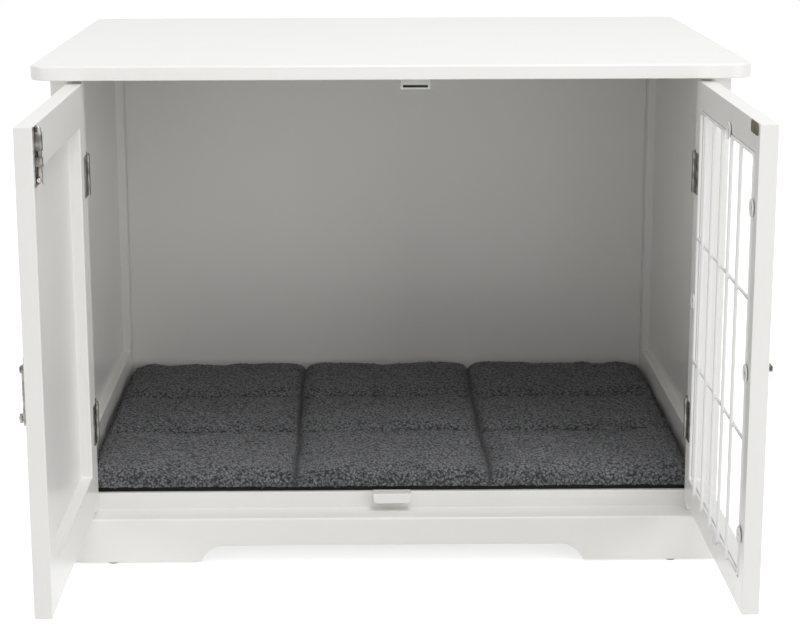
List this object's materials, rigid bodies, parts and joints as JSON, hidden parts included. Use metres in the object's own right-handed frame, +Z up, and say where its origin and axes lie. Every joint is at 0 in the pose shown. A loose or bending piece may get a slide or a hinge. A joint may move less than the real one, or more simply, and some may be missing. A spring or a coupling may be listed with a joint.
{
  "type": "indoor kennel",
  "caption": "White furniture-style dog kennel: open cabinet on an arched plinth, one panelled door and one wire-grille door standing open, quilted grey mat inside.",
  "frame": {"origin": "on the floor under the middle of the whole object, both doors open at a right angle", "axes": "+Z up, +Y to the back of the cabinet, +X to the viewer's right as seen from the front"},
  "size_m": [0.98, 1.086, 0.712],
  "materials": {
    "white_paint": "satin white paint on board",
    "raw_wood": "planed, unfinished",
    "nickel": "satin nickel plate",
    "bright_steel": "bright plate",
    "bronze_steel": "bronzed",
    "catch_plastic": "moulded",
    "magnet": "dark ferrite",
    "glide_plastic": "moulded, pale",
    "wire_paint": "white powder coat",
    "mat_fabric": "curly pile, charcoal",
    "base_cloth": "black non-slip cloth"
  },
  "bodies": {
    "cabinet": {"top_panel": "white_paint", "left_post": "white_paint", "right_post": "white_paint", "left_side_front_stile": "white_paint", "left_side_rear_stile": "white_paint", "left_side_top_rail": "white_paint", "left_side_bottom_rail": "white_paint", "left_side_panel": "white_paint", "right_side_front_stile": "white_paint", "right_side_rear_stile": "white_paint", "right_side_top_rail": "white_paint", "right_side_bottom_rail": "white_paint", "right_side_panel": "white_paint", "back_panel": "white_paint", "rear_base_rail": "white_paint", "floor_panel": "white_paint", "floor_side_battens": "raw_wood", "floor_bearers": "raw_wood", "floor_front_rail": "white_paint", "ledge_board": "white_paint", "plinth_board": "white_paint", "plinth_returns": "white_paint", "corner_blocks": "raw_wood", "glides": "glide_plastic", "top_battens": "raw_wood", "batten_screws": "nickel", "back_screws": "nickel", "catch_housing": "catch_plastic", "catch_magnet": "magnet", "catch_screws": "nickel", "door_stop": "white_paint", "stop_dowels": "raw_wood", "post_leaves": "nickel", "hinge_pins": "bright_steel", "post_leaf_screws": "nickel"},
    "left_door": {"left_hinge_stile": "white_paint", "left_free_stile": "white_paint", "left_top_rail": "white_paint", "left_bottom_rail": "white_paint", "left_panel": "white_paint", "left_door_leaves": "nickel", "left_door_screws": "nickel", "bolt_plate": "bright_steel", "latch_plate": "bright_steel"},
    "right_door": {"right_hinge_stile": "white_paint", "right_free_stile": "white_paint", "right_top_rail": "white_paint", "right_bottom_rail": "white_paint", "right_door_leaves": "nickel", "right_door_screws": "nickel", "grille": "wire_paint", "grille_clips": "wire_paint", "clip_screws": "wire_paint", "strike_plate": "bronze_steel", "keeper": "bright_steel"},
    "bolt": {"bolt_rod": "bright_steel"},
    "latch": {"latch_bar": "bright_steel"},
    "mat": {"mat_base": "base_cloth", "quilted_mat": "mat_fabric"}
  },
  "joints": [
    {"name": "left_door_hinge", "type": "hinge", "parent": "cabinet", "child": "left_door", "pos_m": [-0.417, -0.1277, 0.38625], "axis": [0, 0, 1], "range_deg": [0, 90]},
    {"name": "right_door_hinge", "type": "hinge", "parent": "cabinet", "child": "right_door", "pos_m": [0.417, -0.1277, 0.38625], "axis": [0, 0, -1], "range_deg": [0, 90]},
    {"name": "bolt_slide", "type": "slide", "parent": "left_door", "child": "bolt", "axis": [0, 0, 1], "range_m": [0, 0.013]},
    {"name": "latch_pivot", "type": "hinge", "parent": "left_door", "child": "latch", "pos_m": [-0.443, -0.529, 0.396], "axis": [-1, 0, 0], "range_deg": [-90, 110]},
    {"name": "mat_lift", "type": "slide", "parent": "cabinet", "child": "mat", "axis": [0, 0, 1], "range_m": [0, 0.2]}
  ]
}
